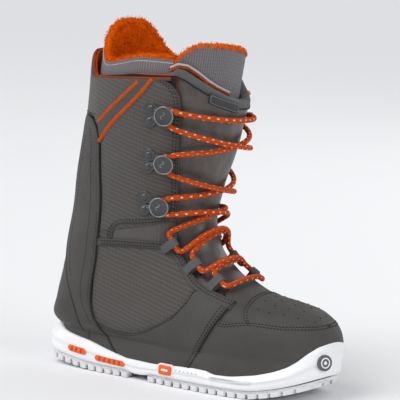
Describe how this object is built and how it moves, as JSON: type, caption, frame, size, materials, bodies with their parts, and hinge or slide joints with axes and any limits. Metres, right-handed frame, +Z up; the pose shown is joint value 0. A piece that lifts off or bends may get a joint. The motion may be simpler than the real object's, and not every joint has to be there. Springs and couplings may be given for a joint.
{
  "type": "snowboard boot",
  "caption": "Lace-up snowboard boot with a white lugged sole, grey upper, orange lace on hooks and webbing loops, padded tongue and a removable liner with a fleece collar.",
  "frame": {"origin": "middle of the whole boot's bounding box, on the ground under the sole", "axes": "+X to the toe, +Y to the medial (inner) side of this right boot, +Z up"},
  "size_m": [0.3189, 0.1362, 0.3477],
  "materials": {
    "white_rubber": "matte moulded rubber",
    "white_foam": "smooth moulded foam",
    "orange_foam": "smooth moulded",
    "grey_rubber": "satin",
    "board": "pressed fibre board",
    "footbed_cloth": "brushed cloth over foam",
    "lining": "knitted lining",
    "mesh": "spacer mesh over foam",
    "satin": "satin weave",
    "binding": "woven binding",
    "tape": "woven tape",
    "stretch": "stretch weave",
    "ripstop": "ripstop weave",
    "gunmetal": "dark plated",
    "webbing": "ribbed webbing",
    "lace": "braided cord with pale flecks",
    "leather": "smooth synthetic leather"
  },
  "bodies": {
    "foot": {"outsole_heel": "white_rubber", "outsole_forefoot": "white_rubber", "midsole": "white_foam", "insert_lat_rear": "orange_foam", "insert_lat_front": "orange_foam", "insert_med_rear": "orange_foam", "insert_med_front": "orange_foam", "side_badge": "orange_foam", "toe_emblem": "grey_rubber", "lasting_board": "board", "footbed": "footbed_cloth", "shell_lining_foot": "lining", "liner_foot": "mesh", "liner_fold": "mesh", "tongue_lower": "satin", "tongue_fold": "satin", "flex_gusset_lateral": "stretch", "flex_gusset_medial": "stretch", "quarter_lateral": "leather", "quarter_medial": "leather", "ankle_panel_lateral": "ripstop", "ankle_panel_medial": "ripstop", "backstay_lateral_lower": "leather", "backstay_medial_lower": "leather", "back_panel_lower": "leather", "heel_counter": "leather", "toe_rand": "leather", "toe_cap_panel": "leather", "vamp_saddle": "leather", "lace_loop_lat_1": "webbing", "lace_loop_lat_2": "webbing", "lace_loop_lat_3": "webbing", "lace_loop_med_1": "webbing", "lace_loop_med_2": "webbing", "lace_loop_med_3": "webbing", "lace_lower": "lace", "lace_ankle_a": "lace", "lace_ankle_b": "lace"},
    "cuff": {"shell_lining_cuff": "lining", "liner_cuff": "mesh", "cuff_panel_lateral": "ripstop", "cuff_panel_medial": "ripstop", "backstay_lateral_upper": "leather", "backstay_medial_upper": "leather", "back_panel_upper": "leather", "collar_back": "ripstop", "cuff_tape_lateral": "tape", "hook_lat_1": "gunmetal", "hook_lat_2": "gunmetal", "hook_lat_3": "gunmetal", "hook_med_1": "gunmetal", "hook_med_2": "gunmetal", "hook_med_3": "gunmetal", "lace_upper_a": "lace", "lace_upper_b": "lace"},
    "tongue": {"tongue_upper": "satin", "tongue_binding": "binding", "tongue_label": "tape", "liner_tongue": "mesh"}
  },
  "joints": [
    {"name": "cuff_flex", "type": "hinge", "parent": "foot", "child": "cuff", "pos_m": [-0.1018, 0, 0.138], "axis": [0, 1, 0], "range_deg": [0, 8], "deforming": ["tongue_fold", "liner_fold", "flex_gusset_lateral", "flex_gusset_medial", "lace_ankle_a", "lace_ankle_b"]},
    {"name": "tongue_open", "type": "hinge", "parent": "cuff", "child": "tongue", "pos_m": [0.0032, 0, 0.168], "axis": [0, 1, 0], "range_deg": [0, 12], "deforming": ["lace_upper_a", "lace_upper_b"]}
  ]
}
